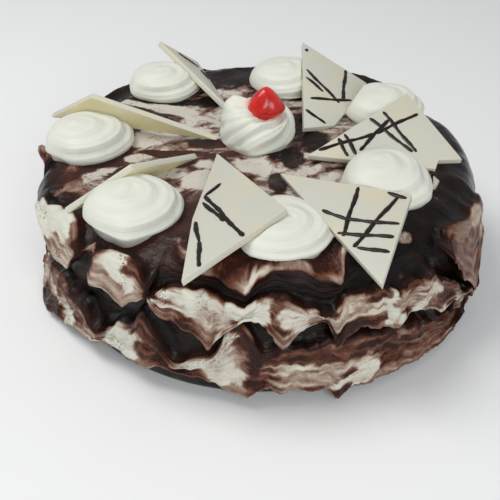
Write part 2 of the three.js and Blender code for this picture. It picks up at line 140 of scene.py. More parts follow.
BOTTOM_WAVE = {
    "crest": [
        [10, 63], [34, 52], [54, 63], [78, 51], [104, 63], [126, 52], [150, 63], [174, 54], [190, 60],
        [203, 52], [214, 48], [221, 42], [227, 61], [241, 34], [251, 57], [258, 50], [265, 29],
        [271, 46], [275, 43], [299, 44], [310, 52], [322, 63], [340, 66],
    ],
    "hem": [
        [10, 72, TIP], [34, 67], [54, 72, TIP], [78, 67], [104, 73, TIP], [126, 67], [150, 72, TIP],
        [174, 68], [205, 73, TIP], [222, 68], [232, 63], [243, 65.5, TIP], [247.5, 61], [256, 64],
        [267, 70, TIP], [272, 66.5], [284, 69], [287, 73.5, TIP], [291, 71], [312, 70], [340, 71],
    ],
    "reach": [
        [10, 7], [54, 5], [104, 7], [150, 5], [190, 7], [208, 9], [226, 6], [236, 4], [270, 4.5],
        [290, 6.5], [318, 9], [340, 8],
    ],
}
# The smeared coat of the top ends in an irregular edge, with tongues that hang over the shoulder.
TOP_EDGE = [
    [10, -3], [50, -6], [95, -2], [140, -4], [170, -5], [188, 1], [198, 5, TIP], [203, 6.5], [208, 1],
    [214, -6], [245, -5], [250, 3], [254.5, 9], [259, 9.2], [263.5, 14], [266.7, 16.5, TIP], [270, 8.2],
    [273, 5], [279, 5.6], [284.5, 12], [288.4, 16, TIP], [293, 0], [310, -5],
]

# Where the knife left the mix paler or darker than its neighbourhood: [angle, depth, half width in
# degrees, half height in mm, cream from 0 (ganache) to 1 (whipped cream)].
COAT_DABS = [
    [212, 26, 14, 9, 0.67], [205, 16, 10, 9, 1.0], [212, 13.5, 8, 6.5, 1.0], [219.8, 14, 1.3, 4, 0.5],
    [211, 23.5, 6, 0.7, 0.5], [218, 20.5, 4, 0.7, 0.5], [236, 23, 8, 6, 0.6], [234, 14.5, 2.6, 3, 0.95],
    [237.3, 17.8, 2, 3, 0.95], [240, 21, 1.7, 2, 0.9], [241, 15.2, 1.6, 3.6, 0.32], [234, 27.5, 4, 0.8, 0.8],
    [249, 20, 3, 1.6, 0.95], [256, 20, 3.4, 4, 1.0], [250, 27, 4, 4, 0.46], [249, 24, 3.5, 0.8, 0.8],
    [260, 27, 3.5, 3, 0.7], [268, 22, 4.5, 4.5, 1.0], [273.5, 23.5, 1.8, 5, 0.35],
    [277, 27, 3, 4, 0.85], [281, 31, 1.3, 1.5, 0.1], [284, 23, 4, 3, 0.75], [292, 24, 5, 4, 0.6],
    [299.5, 30, 1.4, 8, 1.0], [295, 22, 3, 2, 0.3], [304, 30, 3, 5, 0.62], [309.5, 31, 3, 4, 0.62],
    [319, 40, 4.6, 7.5, 0.32], [313, 26, 1.6, 3, 0.3], [308, 36, 3, 2, 0.85], [306, 25, 3, 1.6, 0.3],
    [321, 49.5, 7, 1.8, 0.88], [216, 61, 2.2, 7, 0.95], [222, 58, 1.6, 5, 0.32], [241, 41, 5, 6, 0.28],
    [235, 58, 4.6, 5, 1.0], [243, 54, 2, 5, 0.3], [252, 52, 3, 3, 0.33], [266, 36, 2.4, 5, 0.3],
    [263, 37, 1.6, 5, 0.9], [262, 57, 4, 6, 0.85], [269, 53, 1.6, 10, 0.2], [281, 48, 9, 3, 0.25],
    [292, 50, 12, 4, 0.27], [280, 61, 8, 4.5, 0.6], [306, 58, 10, 5, 0.3], [318, 60, 8, 7, 0.32],
    [311, 67, 9, 6, 0.42], [302, 67, 3, 3, 0.5], [291, 65.5, 5, 2.6, 0.9], [296.5, 61, 2.6, 4, 1.0],
    [298.5, 59, 1.4, 3, 0.3], [264.6, 8, 3, 5, 0.29], [269, 8.5, 1.2, 4, 0.6], [288, 9, 3, 6, 0.3],
    [276, 4, 8, 1.6, 0.72], [256.5, 8, 4, 2, 0.66], [204, 2, 4, 6, 0.5], [212, 53, 7, 3.4, 0.4],
    [181, 11.5, 4, 4, 0.55],
    [327, 28, 10, 18, 0.42], [320, 19, 1.3, 8, 0.3], [328, 18, 6, 3, 0.55], [328, 22, 5, 0.8, 0.28],
    [335, 19, 4, 5, 0.68], [334, 33, 3, 2.5, 0.2], [328, 46, 4, 6, 0.52],
]
# Small smears on the bare glaze, as [angle, depth, half width, half height, cream].
GLAZE_SMEARS = [
    [310, 4.6, 2.6, 4, 0.62], [337, -3.5, 3, 1.5, 0.85], [330.5, 0, 2.2, 1.2, 0.85],
    [225.2, 16.5, 0.9, 3.4, 0.6], [203, 8.5, 0.9, 4, 0.5], [64, 2, 5, 3, 0.5], [118, 4, 4, 3, 0.5],
    [150, 2, 5, 2, 0.5],
]
# The same on the top, as [x, y, half length, half width, turn in degrees, cream].
TOP_DABS = [
    [-72, 43, 14, 3, -34, 0.95], [-46, 34, 18, 6, -12, 0.95], [-73, 54, 6, 4, -30, 0.66],
    # The dark dab at x -48, y 45, along the first rosette's foot, is glaze with a painted contact shadow.
    [-64, 57, 9, 2.4, -48, 0.1], [-66, 50, 6, 3.5, -40, 0.4], [-48, 45, 18, 3.2, 0, 0.05],
    [-28, 44, 5, 5, 0, 0.5],
    [-58, 4, 9, 4.5, 0, 0.9], [-50, 9, 12, 3, 5, 0.85], [-58, -11, 7, 3, 10, 0.95],
    [-41, -8, 14, 3.4, -8, 0.05], [-64, 17, 6, 5, 0, 0.35], [-25, 1, 9, 4.5, -10, 0.0],
    [-43, -26, 8, 5, 0, 0.8], [-30, -34, 7, 8, 0, 0.9], [-28, -20, 5, 5, 0, 0.85], [-37, -19, 6, 3, 10, 0.42],
    [-32, -59, 6, 7, 0, 0.0], [-15, -13, 4, 2.5, 0, 0.42], [-4, -21, 11, 8, 0, 0.95], [9, -34, 5, 9, 10, 0.0],
    [16, -14, 5, 9, 10, 0.05], [28, -11, 8, 2.6, 0, 0.85], [24, 24, 8, 6, 0, 0.1], [30, 32, 7, 3, 20, 0.8],
    [38, 24, 8, 2.6, 10, 0.8], [-16, 72, 10, 7, 0, 0.05], [-20, 54, 10, 5, 0, 0.75], [-30, 30, 5, 4, 0, 0.6],
    [-78, -29, 13, 5, 42, 0.72], [-76, -37, 8, 5, 35, 0.6], [-70, -49, 4, 1.8, 20, 0.9],
    [84, -9, 3.6, 2.8, 0, 0.9], [44, 66, 9, 5, -30, 0.7], [-30, 86, 14, 4, 8, 0.6],
    [38, -84, 3, 7, -15, 0.45],
]


def outline_at(knots, angle):
    """The value at each angle on a closed outline of knots: level at round ones, sloped at TIPs."""
    first = knots[0][0]
    turned = first + np.mod(angle - first, 360)
    angles = np.array([knot[0] for knot in knots] + [first + 360], float)
    values = np.array([knot[1] for knot in knots] + [knots[0][1]], float)
    tips = np.array([len(knot) > 2 for knot in knots] + [len(knots[0]) > 2])
    at = np.clip(np.searchsorted(angles, turned, side="right") - 1, 0, len(knots) - 1)
    t = (turned - angles[at]) / (angles[at + 1] - angles[at])
    eased = (1 - np.cos(np.pi * t)) / 2
    eased = np.where(tips[at], np.sin(np.pi * t / 2), eased)
    eased = np.where(tips[at + 1], 1 - np.cos(np.pi * t / 2), eased)
    eased = np.where(tips[at] & tips[at + 1], t, eased)
    return values[at] + (values[at + 1] - values[at]) * eased


def tip_at(knots, angle):
    """1 at a pointed knot of an outline, 0 at a round one."""
    return outline_at([[knot[0], float(len(knot) > 2), *knot[2:]] for knot in knots], angle)


def coat_point(depth, lift):
    """Radius and height at a depth down the coat, lifted off it along its normal."""
    turn = np.clip(depth / SHOULDER_RADIUS, 0, math.pi / 2)
    arc = math.pi / 2 * SHOULDER_RADIUS
    radius = TOP_FLAT_RADIUS + np.minimum(depth, 0) + (SHOULDER_RADIUS + lift) * np.sin(turn)
    height = CAKE_HEIGHT - SHOULDER_RADIUS + (SHOULDER_RADIUS + lift) * np.cos(turn)
    return radius, height - np.maximum(depth - arc, 0)


def mix(a, b, share):
    """The value that lies a share of the way from a to b."""
    return a + (b - a) * share


def smooth_step(low, high, value):
    """0 at low and 1 at high, eased in between; low may be the greater."""
    t = np.clip((value - low) / (high - low), 0, 1)
    return t * t * (3 - 2 * t)


def ripple(along, across, seed, along_waves, across_waves, count=26):
    """Smooth noise of unit spread that closes round the cake: along is in radians, across in mm, and
    the wave numbers are per turn and per mm."""
    rng = np.random.default_rng(seed)
    total = 0
    for _ in range(count):
        waves = rng.integers(along_waves[0], along_waves[1] + 1)
        slope = 2 * math.pi * rng.uniform(*across_waves) * rng.choice([-1, 1])
        total = total + np.sin(waves * along + slope * across + rng.uniform(0, 2 * math.pi))
    return total / math.sqrt(count / 2)


# Each row of the coat's section: its [radius, height], whether it lies on a ruffle (1) or in a
# trough (0), how far down that ruffle it is, and the depth that the marbling is laid by.
angle = np.arange(ROUND_STEPS + 1) * 360 / ROUND_STEPS
around = np.radians(angle)
edge = outline_at(TOP_EDGE, angle)

flap_reach = outline_at(TOP_FLAPS["reach"], angle)
stands = np.clip(flap_reach / 3, 0, 1)
rest = (edge + outline_at(MIDDLE_WAVE["crest"], angle)) / 2 - 1
shoulder_hollow = outline_at(TOP_FLAPS["hollow"], angle)
flap_crest = np.maximum(mix(rest, outline_at(TOP_FLAPS["crest"], angle), stands), edge + LEAST_TROUGH)
flap_hem = np.maximum(mix(rest, outline_at(TOP_FLAPS["hem"], angle), stands), flap_crest + LEAST_BAND)
middle_crest = np.maximum(outline_at(MIDDLE_WAVE["crest"], angle), flap_hem + LEAST_TROUGH)
middle_hem = np.maximum(outline_at(MIDDLE_WAVE["hem"], angle), middle_crest + LEAST_BAND)
bottom_crest = np.maximum(outline_at(BOTTOM_WAVE["crest"], angle), middle_hem + LEAST_TROUGH)
bottom_hem = np.maximum(outline_at(BOTTOM_WAVE["hem"], angle), bottom_crest + LEAST_BAND)

# The knife's hand is uneven, so every crest and hem wavers a little.
waver = [0.55 * ripple(around, 0, seed, (14, 60), (0, 0))
         + 0.3 * ripple(around, 0, seed + 1, (50, 130), (0, 0))
         for seed in (61, 63, 65, 67, 69, 71)]
flap_crest, flap_hem = flap_crest + 0.5 * waver[0] * stands, flap_hem + 0.5 * waver[1] * stands
middle_crest, middle_hem = middle_crest + waver[2], middle_hem + waver[3]
bottom_crest, bottom_hem = bottom_crest + waver[4], np.minimum(bottom_hem + waver[5], LOWEST_HEM)

rows = []


def add_ring(radius, height, depth, on_ruffle, down, steps, softness):
    """A row all round the cake, with its values spread over every angle."""
    rows.append((*(value + 0 * angle for value in (radius, height, depth, on_ruffle, down)), steps, softness))


def add_row(depth, lift, on_ruffle, down, steps, softness=1.0):
    """A row at a depth down the coat, lifted off it along its normal."""
    radius, height = coat_point(depth + 0 * angle, lift + 0 * angle)
    add_ring(radius, height, depth, on_ruffle, down, steps, softness)


def add_ruffle(crest, hem, wave):
    """The rows of one wave, from under its drooping lip up to where the knife set in."""
    reach = outline_at(wave["reach"], angle)
    pleat = tip_at(wave["hem"], angle)
    stand = np.clip(reach / 3, 0, 1)
    hollow = outline_at(wave.get("hollow", [[0, -TROUGH_HOLLOW]]), angle)
    lip = mix(hollow, reach + PLEAT * (pleat - 0.35), stand)
    rise = mix(hollow, CREST_RISE + 0.25 * reach, stand)
    add_row(hem + 0.9 - 3.6 * stand, mix(hollow, 0.05 * lip - 1.0, stand), 0.15 * stand, 1.2, 5)
    add_row(hem + 0.35, lip - 1.3 * stand, 0.5 * stand, 1.06, 3, 0.35)
    add_row(hem + 0.05, lip - 0.2, stand, 1.0, 2, 0.25)
    add_row(hem - LIP_THICKNESS, lip + 0.1, stand, 0.93, 11, 0.45)
    add_row(mix(crest, hem, 0.6), mix(rise, lip, 0.42) - 0.7 * stand, stand, 0.6, 10)
    add_row(mix(crest, hem, 0.25), rise + 0.5 * stand, stand, 0.25, 6)
    add_row(crest, rise - 0.8 * stand, 0.9 * stand, 0.0, 4, 0.5)
    add_row(crest - 1.4, mix(1, 0.7, stand) * hollow, 0, -0.1, 6)


add_ring(POLE_RADIUS, 0, 76, 0, 0, 3, 0)
add_ring(FOOT_RADIUS - 1, 0, 76, 0, 0, 2, 0)
add_ring(FOOT_RADIUS, 1.2, 75, 0, 0, 3, 0.5)
add_ruffle(bottom_crest, bottom_hem, BOTTOM_WAVE)
add_row((middle_hem + bottom_crest) / 2, -TROUGH_HOLLOW, 0, -0.2, 4)
add_ruffle(middle_crest, middle_hem, MIDDLE_WAVE)
add_row((flap_hem + middle_crest) / 2, (shoulder_hollow - TROUGH_HOLLOW) / 2, 0, -0.2, 4)
add_ruffle(flap_crest, flap_hem, TOP_FLAPS)
add_row(mix(edge, flap_crest, 0.5), 0.8 * shoulder_hollow, 0, -0.2, 5)
add_row(edge + 1.0, -TOP_COAT_THICKNESS, 0.3, 0, 2, 0.4)
add_row(edge, 0, 1, 0, 4, 0.6)
add_row(np.minimum(edge - 3, -7), 0, 1, 0, 14, 1)
add_ring(0.55 * TOP_FLAT_RADIUS, CAKE_HEIGHT, -41, 1, 0, 14, 1)
add_ring(POLE_RADIUS, CAKE_HEIGHT, -TOP_FLAT_RADIUS, 1, 0, 0, 0)

sheets = []
for (r0, z0, d0, on0, down0, steps, soft0), (r1, z1, d1, on1, down1, _, soft1) in zip(rows, rows[1:]):
    for step in range(steps):
        t = step / steps
        sheets.append([mix(r0, r1, t), mix(z0, z1, t), mix(d0, d1, t), mix(on0, on1, t),
                       mix(down0, down1, t), mix(soft0, soft1, t) + 0 * angle])
sheets.append([*rows[-1][:5], 0 * angle])
radius, height, depth, on_ruffle, down, softness = np.array(sheets).transpose(1, 0, 2)

# The section's corners are eased, the thin lips least.
for _ in range(7):
    for line in (radius, height):
        eased = 0.25 * line[:-2] + 0.5 * line[1:-1] + 0.25 * line[2:]
        line[1:-1] = mix(line[1:-1], eased, softness[1:-1])

turn = around[None, :] + 0 * radius
# A flap that ends abruptly overhangs the bare coat beside it.
off_flap = np.abs(depth - (flap_crest + flap_hem) / 2) - (flap_hem - flap_crest) / 2
on_flap = stands * smooth_step(2, 0.5, off_flap)
window = np.hanning(9)
overhang = np.convolve(np.gradient(flap_reach, angle), window / window.sum(), mode="same")
placed = turn - np.radians(np.clip(0.4 * overhang, -0.8, 0.8)) * on_flap * on_ruffle
x, y, z = radius * np.cos(placed), radius * np.sin(placed), height.copy()
place = np.stack([x, y, z], -1)
down_slope = np.gradient(place, axis=0)
along_slope = np.gradient(place, axis=1)
along_slope[:, 0] = along_slope[:, -1] = (place[:, 1] - place[:, -2]) / 2
normal = np.cross(along_slope, down_slope)
normal /= np.maximum(np.linalg.norm(normal, axis=-1, keepdims=True), 1e-9)

# The coat's own unevenness, along its normals: soft swells, and the knife's fine ridges that run
# along the ruffles.
on_top = smooth_step(-1, -5, depth)
laid = np.where(depth > -3, down * 13, depth)
swell = 0.55 * ripple(turn, laid, 3, (8, 40), (0.01, 0.06))
swell = swell + 0.3 * ripple(turn, laid, 4, (30, 90), (0.02, 0.1))
bent = turn + 0.01 * ripple(turn, laid, 6, (8, 40), (0.02, 0.05))
ridges = ripple(bent, laid, 5, (6, 46), (0.35, 0.75), 40)
folds = 1 - np.abs(ripple(turn + 0.0035 * laid, laid, 7, (18, 60), (0.0, 0.05), 14))
side_folds = np.clip(folds, -1, 1) * smooth_step(0.02, 0.2, down) * smooth_step(1.05, 0.8, down)
top_swell = 0.5 * ripple(0 * turn, x, 11, (0, 0), (0.01, 0.05))
top_swell = top_swell * ripple(0 * turn, y, 12, (0, 0), (0.01, 0.05))
crinkle = np.abs(ripple(turn, laid, 8, (60, 170), (0.02, 0.16), 40))
side_lift = on_ruffle * (0.45 * swell + 0.14 * ridges + 0.85 * side_folds - 0.28 * crinkle)
side_lift = side_lift + 0.2 * (1 - on_ruffle) * swell
# A flap of the shoulder was laid in one pull, so it is smoother than the waves.
side_lift *= 1 - 0.65 * on_flap
# Where a flap ends steeply; below, its colour is painted dark as shadow.
flap_end_painted_shadow = smooth_step(1.0, 2.4, np.abs(np.gradient(flap_reach)))
lift = np.where(on_top > 0, mix(side_lift, 0.8 * top_swell - 0.6, on_top), side_lift)
lift *= smooth_step(0.2, 2.5, z) * smooth_step(0, 6, radius)
place += normal * lift[..., None]


def degrees_from(bearing):
    """How far round the cake each column lies from a bearing, from -180 to 180."""
    return np.mod(angle[None, :] - bearing + 180, 360) - 180


# How much cream the mix holds at each point, from 0 to 1, before the fine streaks.
warp_a = ripple(turn, depth, 21, (12, 50), (0.02, 0.12))
warp_b = ripple(turn, depth, 22, (12, 50), (0.02, 0.12))
patches = ripple(turn, laid, 23, (8, 26), (0.01, 0.05))
streaks = ripple(turn + 0.02 * warp_a, laid, 24, (5, 40), (0.18, 0.5), 40)
cream = 0.42 + 0.2 * patches + 0.07 * streaks
cream += 0.26 * smooth_step(0.05, 0.3, down) * smooth_step(0.7, 0.5, down)
cream -= 0.1 * smooth_step(0.5, 0.7, down)
cream -= 0.3 * smooth_step(0.12, 0.0, down)
cream = mix(cream, 0.62, 0.6 * smooth_step(0.9, 0.95, down))
cream = np.clip(cream, 0.17, 1)
ragged = ripple(turn, depth, 25, (40, 130), (0.05, 0.25))
for dab_angle, dab_depth, half_width, half_height, tone in COAT_DABS:
    off = (degrees_from(dab_angle) + 0.8 * warp_a + 0.3 * ragged) / half_width
    drop = (depth - dab_depth + 0.8 * warp_b + 0.4 * ragged) / half_height
    share = smooth_step(1.25, 0.85, np.hypot(off, drop))
    cream = mix(cream, tone + 0.05 * streaks, share)
# The steep end of a flap is painted dark: bare ganache, and painted shadow under the flap's edge.
cream = mix(cream, 0.1, flap_end_painted_shadow * on_flap)
# In the troughs, under the lips and round the foot the coat is painted near-black: ganache, with painted
# shade in these recesses.
side_cream_and_shade = cream * smooth_step(0.25, 0.8, on_ruffle) + 0.04 * (1 + streaks) * (1 - on_ruffle)
side_cream_and_shade = np.where(down > 1.02, 0.2 * on_ruffle, side_cream_and_shade)


def flat_waves(rate, shift, waves):
    """A sum of plane waves over the top, each with its direction and its share of the rate."""
    return sum(np.sin(rate * b * (x * math.cos(a) + y * math.sin(a)) + shift * a) for a, b in waves)


# Over the top the knife smeared cream and ganache flat, in patches a few centimetres long.
top_warp = flat_waves(0.1, 3, ((0.6, 1.1), (2.0, 0.8), (-0.5, 0.95))) / 1.5
fine_warp = flat_waves(0.33, 5, ((0.2, 1.0), (1.4, 0.85), (2.5, 1.15))) / 1.7
spread_x, spread_y = 0.9 * x + 0.45 * y + 3 * top_warp, 0.9 * y - 0.45 * x + 3 * top_warp
bare_rim = smooth_step(60, 76, radius + 5 * top_warp)
bare_rim *= 0.5 + 0.5 * smooth_step(60, 20, np.abs(degrees_from(318)))
top_cream = mix(0.52 + 0.1 * top_warp, 0.0, bare_rim)
for at_x, at_y, half_length, half_width, lean, tone in TOP_DABS:
    c, s = math.cos(math.radians(lean)), math.sin(math.radians(lean))
    off_x = x - at_x + 1.5 * top_warp + 0.8 * fine_warp
    off_y = y - at_y + 1.5 * top_warp - 0.8 * fine_warp
    along, across = (c * off_x + s * off_y) / half_length, (c * off_y - s * off_x) / half_width
    share = smooth_step(1.25, 0.7, np.hypot(along, across))
    top_cream = mix(top_cream, tone, share)
lip_smear = smooth_step(3.2, 0.8, np.abs(depth - edge[None, :] + 1.2))
lip_smear *= smooth_step(32, 22, np.abs(angle[None, :] - 274))
top_cream = mix(top_cream, 0.72 + 0.1 * fine_warp, lip_smear)
side_cream_and_shade = mix(side_cream_and_shade, np.clip(0.56 + 0.16 * warp_a, 0, 1), lip_smear)
cream = mix(side_cream_and_shade, top_cream, on_top)
for dab_angle, dab_depth, half_width, half_height, tone in GLAZE_SMEARS:
    off = (degrees_from(dab_angle) + 0.3 * warp_a + 0.2 * ragged) / half_width
    drop = (depth - dab_depth + 0.4 * warp_b + 0.2 * ragged) / half_height
    cream = mix(cream, tone, smooth_step(1.2, 0.8, np.hypot(off, drop)))
cream = np.clip(cream, 0, 1)
# Over the left the ganache is a thin reddish glaze; on the right it is nearly black.
warm = smooth_step(72, 25, np.abs(degrees_from(225))) * smooth_step(16, 4, depth)
warm *= 1 - 0.5 * smooth_step(-14, -2, depth)
warm = np.clip(0.03 + 0.72 * warm + 0.3 * on_ruffle * (1 - on_top) + 0.06 * warp_a, 0, 1)

bpy.ops.object.select_all(action="DESELECT")
bpy.ops.mesh.primitive_grid_add(x_subdivisions=ROUND_STEPS, y_subdivisions=len(radius) - 1, size=0.2)
cake_coat = bpy.context.object
cake_coat.name = "marbled_cake"
low, high = (np.array(corner) * 1000 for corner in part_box("cake_body"))
place = np.clip(place, low + BOX_MARGIN, high - BOX_MARGIN)
cake_coat.data.vertices.foreach_set("co", (place.reshape(-1, 3) / 1000).ravel())
# The stroke is where the streaks are read: drawn out along the ruffles and along the top's smears.
side_stroke = np.stack([110 * np.cos(turn), 110 * np.sin(turn), 9 * laid], -1) / 1000
top_stroke = np.stack([0.6 * spread_x, 1.5 * spread_y, 0 * x], -1) / 1000
stroke = mix(side_stroke, top_stroke, on_top[..., None])
for name, values in (("cream", cream), ("on_ruffle", on_ruffle), ("on_flap", on_flap), ("warm", warm),
                     ("on_top", on_top)):
    layer = cake_coat.data.attributes.new(name, "FLOAT", "POINT")
    layer.data.foreach_set("value", values.ravel())
layer = cake_coat.data.attributes.new("stroke", "FLOAT_VECTOR", "POINT")
layer.data.foreach_set("vector", stroke.ravel())


def close_mesh(piece):
    """Merges a grid's seam and poles and turns its faces outwards."""
    bpy.ops.object.select_all(action="DESELECT")
    piece.select_set(True)
    bpy.context.view_layer.objects.active = piece
    bpy.ops.object.mode_set(mode="EDIT")
    bpy.ops.mesh.select_all(action="SELECT")
    bpy.ops.mesh.remove_doubles(threshold=1e-6)
    bpy.ops.mesh.normals_make_consistent(inside=False)
    bpy.ops.object.mode_set(mode="OBJECT")
    bpy.ops.object.shade_smooth()


def colour(code):
    """An sRGB hex colour as linear red, green, blue and alpha."""
    parts = [int(code[at:at + 2], 16) / 255 for at in (1, 3, 5)]
    return (*(part / 12.92 if part <= 0.04045 else ((part + 0.055) / 1.055) ** 2.4 for part in parts), 1)


def add_node(material, kind, settings=None, links=None):
    """Adds a node, sets its properties, sockets and colour stops, and links other outputs to it."""
    node = material.node_tree.nodes.new(kind)
    for name, value in (settings or {}).items():
        if name == "stops":
            elements = node.color_ramp.elements
            while len(elements) < len(value):
                elements.new(0.5)
            for element, (position, code) in zip(elements, value):
                element.position = position
                element.color = colour(code)
        elif isinstance(name, int) or name in node.inputs:
            node.inputs[name].default_value = value
        else:
            setattr(node, name, value)
    for name, output in (links or {}).items():
        material.node_tree.links.new(output, node.inputs[name])
    return node


def new_material(name):
    material = bpy.data.materials.new(name)
    material.use_nodes = True
    material.node_tree.nodes.clear()
    return material


close_mesh(cake_coat)

# Ganache with whipped cream drawn through it: dark and glossy where it is pure chocolate, taupe and
# satin where the two are stirred, nearly white and soft where cream alone was caught. Streaks 1 to
# 3 mm wide run along the knife's stroke, and chocolate crumbs under 1 mm speckle the edges.
coat_mix = new_material("ganache_and_cream_marbling_with_painted_shade")
# The cream attribute also holds painted shade: near-black in the troughs, under the lips, round the foot and
# at the flaps' steep ends, and a painted contact shadow at the first rosette's foot.
cream_share = add_node(coat_mix, "ShaderNodeAttribute", {"attribute_name": "cream"}).outputs["Fac"]
stroke_place = add_node(coat_mix, "ShaderNodeAttribute", {"attribute_name": "stroke"}).outputs["Vector"]
object_place = add_node(coat_mix, "ShaderNodeTexCoord").outputs["Object"]
broad = add_node(coat_mix, "ShaderNodeTexNoise",
                 {"Scale": 55, "Detail": 5, "Roughness": 0.6, "Distortion": 0.6},
                 {"Vector": stroke_place}).outputs["Fac"]
fine = add_node(coat_mix, "ShaderNodeTexNoise",
                {"Scale": 150, "Detail": 4, "Roughness": 0.65, "Distortion": 0.4},
                {"Vector": stroke_place}).outputs["Fac"]
blotch = add_node(coat_mix, "ShaderNodeTexNoise",
                  {"Scale": 240, "Detail": 5, "Roughness": 0.6, "Distortion": 1.2},
                  {"Vector": object_place}).outputs["Fac"]
smear = add_node(coat_mix, "ShaderNodeTexNoise",
                 {"Scale": 70, "Detail": 4, "Roughness": 0.55, "Distortion": 1.1},
                 {"Vector": stroke_place}).outputs["Fac"]

# The streaks of the sides, the smears of the top and the fine relief are each a sum of noises, every
# one first moved to spread by its amount on both sides of 0.
patterns = []
for noises in (((broad, 0.55), (fine, 0.5), (blotch, 0.4)),
               ((cream_share, 2.0), (smear, 2.2), (blotch, 0.9)),
               ((fine, 1.0), (blotch, 0.6))):
    total = None
    for noise, amount in reversed(noises):
        off_middle = add_node(coat_mix, "ShaderNodeMath", {"operation": "SUBTRACT", 1: 0.5}, {0: noise})
        spread = add_node(coat_mix, "ShaderNodeMath", {"operation": "MULTIPLY", 1: amount},
                          {0: off_middle.outputs[0]})
        if total is not None:
            spread = add_node(coat_mix, "ShaderNodeMath", {"operation": "ADD"},
                              {0: spread.outputs[0], 1: total})
        total = spread.outputs[0]
    patterns.append(total)
streaked, smeared, relief = patterns

# Pure cream and pure ganache hold few streaks, and the half-stirred mix holds most. On the top the
# smears end in crisp feathered edges, and cream never lies there pure.
stirred = add_node(coat_mix, "ShaderNodeMapRange",
                   {"From Min": 0.08, "From Max": 0.35, "To Min": 0.1, "To Max": 1.0},
                   {"Value": cream_share}).outputs[0]
one_pull = add_node(coat_mix, "ShaderNodeAttribute", {"attribute_name": "on_flap"}).outputs["Fac"]
calmer = add_node(coat_mix, "ShaderNodeMapRange", {"To Min": 1.0, "To Max": 0.5},
                  {"Value": one_pull}).outputs[0]
for held_back in (stirred, calmer):
    streaked = add_node(coat_mix, "ShaderNodeMath", {"operation": "MULTIPLY"},
                        {0: streaked, 1: held_back}).outputs[0]
side_share = add_node(coat_mix, "ShaderNodeMath", {"operation": "ADD"},
                      {0: cream_share, 1: streaked}).outputs[0]
top_share = add_node(coat_mix, "ShaderNodeMapRange",
                     {"From Min": -0.3, "From Max": 0.42, "To Min": 0.06, "To Max": 0.79},
                     {"Value": smeared}).outputs[0]
top_part = add_node(coat_mix, "ShaderNodeAttribute", {"attribute_name": "on_top"}).outputs["Fac"]
share = add_node(coat_mix, "ShaderNodeMix", {"data_type": "FLOAT"},
                 {0: top_part, 2: side_share, 3: top_share}).outputs[0]
share = add_node(coat_mix, "ShaderNodeClamp", links={"Value": share}).outputs[0]
tones = add_node(coat_mix, "ShaderNodeValToRGB",
                 {"stops": [(0.2, "#261512"), (0.3, "#542b1d"), (0.4, "#6a4332"), (0.52, "#8a7061"),
                            (0.65, "#ad9a8a"), (0.76, "#c9bfb0"), (0.88, "#d2cfc1"), (1.0, "#d9d8cb")]},
                 {"Fac": share}).outputs["Color"]
warmth = add_node(coat_mix, "ShaderNodeAttribute", {"attribute_name": "warm"}).outputs["Fac"]
ganache = add_node(coat_mix, "ShaderNodeMix",
                   {"data_type": "RGBA", 6: colour("#120d0b"), 7: colour("#4a2318")},
                   {0: warmth}).outputs[2]
creamy = add_node(coat_mix, "ShaderNodeMapRange", {"From Min": 0.2, "From Max": 0.32},
                  {"Value": share}).outputs[0]
marbled = add_node(coat_mix, "ShaderNodeMix", {"data_type": "RGBA"},
                   {0: creamy, 6: ganache, 7: tones}).outputs[2]
# Spread thin over the pale sponge, the mix of the top is less red.
saturation = add_node(coat_mix, "ShaderNodeMapRange", {"To Min": 1.0, "To Max": 0.78},
                      {"Value": top_part}).outputs[0]
marbled = add_node(coat_mix, "ShaderNodeHueSaturation",
                   links={"Saturation": saturation, "Color": marbled}).outputs[0]
# Crumbs lie in loose groups on the ruffles.
crumb_cells = add_node(coat_mix, "ShaderNodeTexVoronoi", {"Scale": 900},
                       {"Vector": object_place}).outputs["Distance"]
crumb_dots = add_node(coat_mix, "ShaderNodeMapRange", {"From Min": 0.42, "From Max": 0.25},
                      {"Value": crumb_cells}).outputs[0]
crumb_field = add_node(coat_mix, "ShaderNodeTexNoise", {"Scale": 95, "Detail": 3},
                       {"Vector": object_place}).outputs["Fac"]
crumb_zone = add_node(coat_mix, "ShaderNodeMapRange", {"From Min": 0.53, "From Max": 0.66},
                      {"Value": crumb_field}).outputs[0]
crumb_share = add_node(coat_mix, "ShaderNodeMath", {"operation": "MULTIPLY"},
                       {0: crumb_zone, 1: crumb_dots}).outputs[0]
on_band = add_node(coat_mix, "ShaderNodeAttribute", {"attribute_name": "on_ruffle"}).outputs["Fac"]
crumb_share = add_node(coat_mix, "ShaderNodeMath", {"operation": "MULTIPLY", "use_clamp": True},
                       {0: crumb_share, 1: on_band}).outputs[0]
crumbed = add_node(coat_mix, "ShaderNodeMix", {"data_type": "RGBA", 7: colour("#6b3220")},
                   {0: crumb_share, 6: marbled}).outputs[2]
sheen = add_node(coat_mix, "ShaderNodeMapRange",
                 {"From Min": 0.1, "From Max": 0.7, "To Min": 0.2, "To Max": 0.5},
                 {"Value": share}).outputs[0]
coat_bump = add_node(coat_mix, "ShaderNodeBump", {"Strength": 0.5, "Distance": 0.0011},
                     {"Height": relief}).outputs["Normal"]
coat_surface = add_node(coat_mix, "ShaderNodeBsdfPrincipled",
                        {"IOR": 1.45, "Specular IOR Level": 0.2, "Subsurface Weight": 0.06,
                         "Subsurface Radius": (0.002, 0.0012, 0.0008)},
                        {"Base Color": crumbed, "Roughness": sheen, "Normal": coat_bump}).outputs[0]
add_node(coat_mix, "ShaderNodeOutputMaterial", links={"Surface": coat_surface})
cake_coat.data.materials.append(coat_mix)
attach(cake_coat, "root")
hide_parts("cake_body")

# ---------- White chocolate shards ----------
# Triangles broken from a 3 mm slab of white chocolate, with dark chocolate drizzled over the upper
# face. Each is pressed into the cream with two corners low and one leaning on a rosette.

SHARD_THICKNESS = 3
DRIZZLE_INSET = 0.9
SHARD_PATTERN = [[14, 2, 22, 10], [20, 1, 34, 15], [30, 1, 50, 19], [44, 2, 40, 17], [52, 2, 46, 17]]
